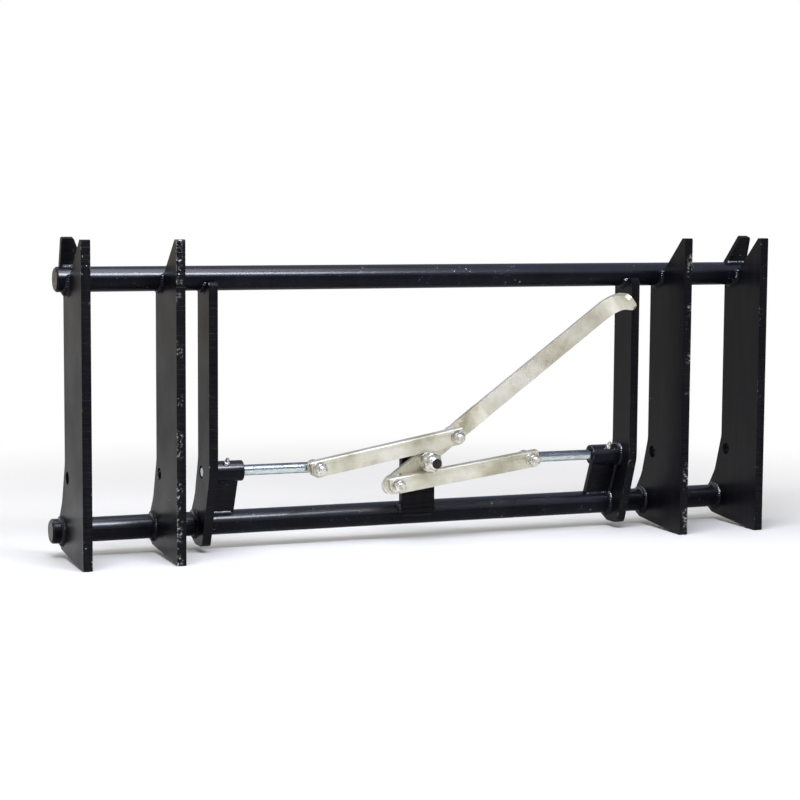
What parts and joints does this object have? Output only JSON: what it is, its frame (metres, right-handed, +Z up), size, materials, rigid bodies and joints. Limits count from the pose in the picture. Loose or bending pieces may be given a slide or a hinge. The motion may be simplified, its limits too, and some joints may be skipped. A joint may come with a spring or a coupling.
{
  "type": "quick hitch frame",
  "caption": "Welded quick hitch frame with two round cross bars, horned side plates, and a hand lever that slides lock pins out through links.",
  "frame": {"origin": "middle of the top bar's axis", "axes": "+X along the bars to the right seen from the front, +Y to the rear, +Z up"},
  "size_m": [1.252, 0.168, 0.5145],
  "materials": {
    "frame_paint": "semi-gloss black paint",
    "zinc_flat": "zinc plated flat steel",
    "zinc_fasteners": "bright zinc plating",
    "bright_rod": "bright drawn rod"
  },
  "bodies": {
    "frame": {"top_bar": "frame_paint", "bottom_bar": "frame_paint", "pivot_post": "frame_paint", "pin_bosses": "frame_paint", "outer_plate_left": "frame_paint", "outer_plate_right": "frame_paint", "middle_plate_left": "frame_paint", "middle_plate_right": "frame_paint", "inner_bracket_left": "frame_paint", "inner_bracket_right": "frame_paint", "corner_horn_left": "frame_paint", "corner_horn_right": "frame_paint", "boss_gusset_left": "frame_paint", "boss_gusset_right": "frame_paint", "grease_nipples": "zinc_fasteners", "pivot_stud": "zinc_fasteners", "pivot_nut": "zinc_fasteners"},
    "lever": {"lever": "zinc_flat"},
    "pin_left": {"lock_pin_left": "bright_rod"},
    "pin_right": {"lock_pin_right": "bright_rod"},
    "link_left": {"link_left": "zinc_flat", "link_bolts_left": "zinc_fasteners", "link_nuts_left": "zinc_fasteners"},
    "link_right": {"link_right": "zinc_flat", "link_bolts_right": "zinc_fasteners", "link_nuts_right": "zinc_fasteners"}
  },
  "joints": [
    {"name": "lever_swing", "type": "hinge", "parent": "frame", "child": "lever", "pos_m": [0, 0, -0.309], "axis": [0, -1, 0], "range_deg": [0, 75]},
    {"name": "pin_slide_left", "type": "slide", "parent": "frame", "child": "pin_left", "axis": [-1, 0, 0], "range_m": [0, 0.073]},
    {"name": "link_swing_left", "type": "hinge", "parent": "pin_left", "child": "link_left", "pos_m": [-0.19274, 0, -0.314], "axis": [0, -1, 0], "range_deg": [0, 5.4]},
    {"name": "pin_slide_right", "type": "slide", "parent": "frame", "child": "pin_right", "axis": [1, 0, 0], "range_m": [0, 0.073]},
    {"name": "link_swing_right", "type": "hinge", "parent": "pin_right", "child": "link_right", "pos_m": [0.19431, 0, -0.314], "axis": [0, -1, 0], "range_deg": [0, 5.4]}
  ],
  "couplings": [
    {"joint": "pin_slide_left", "follows": "lever_swing", "m_per_rad": 0.054908},
    {"joint": "link_swing_left", "follows": "lever_swing", "ratio": 0.071536},
    {"joint": "pin_slide_right", "follows": "lever_swing", "m_per_rad": 0.055651},
    {"joint": "link_swing_right", "follows": "lever_swing", "ratio": 0.070937}
  ]
}
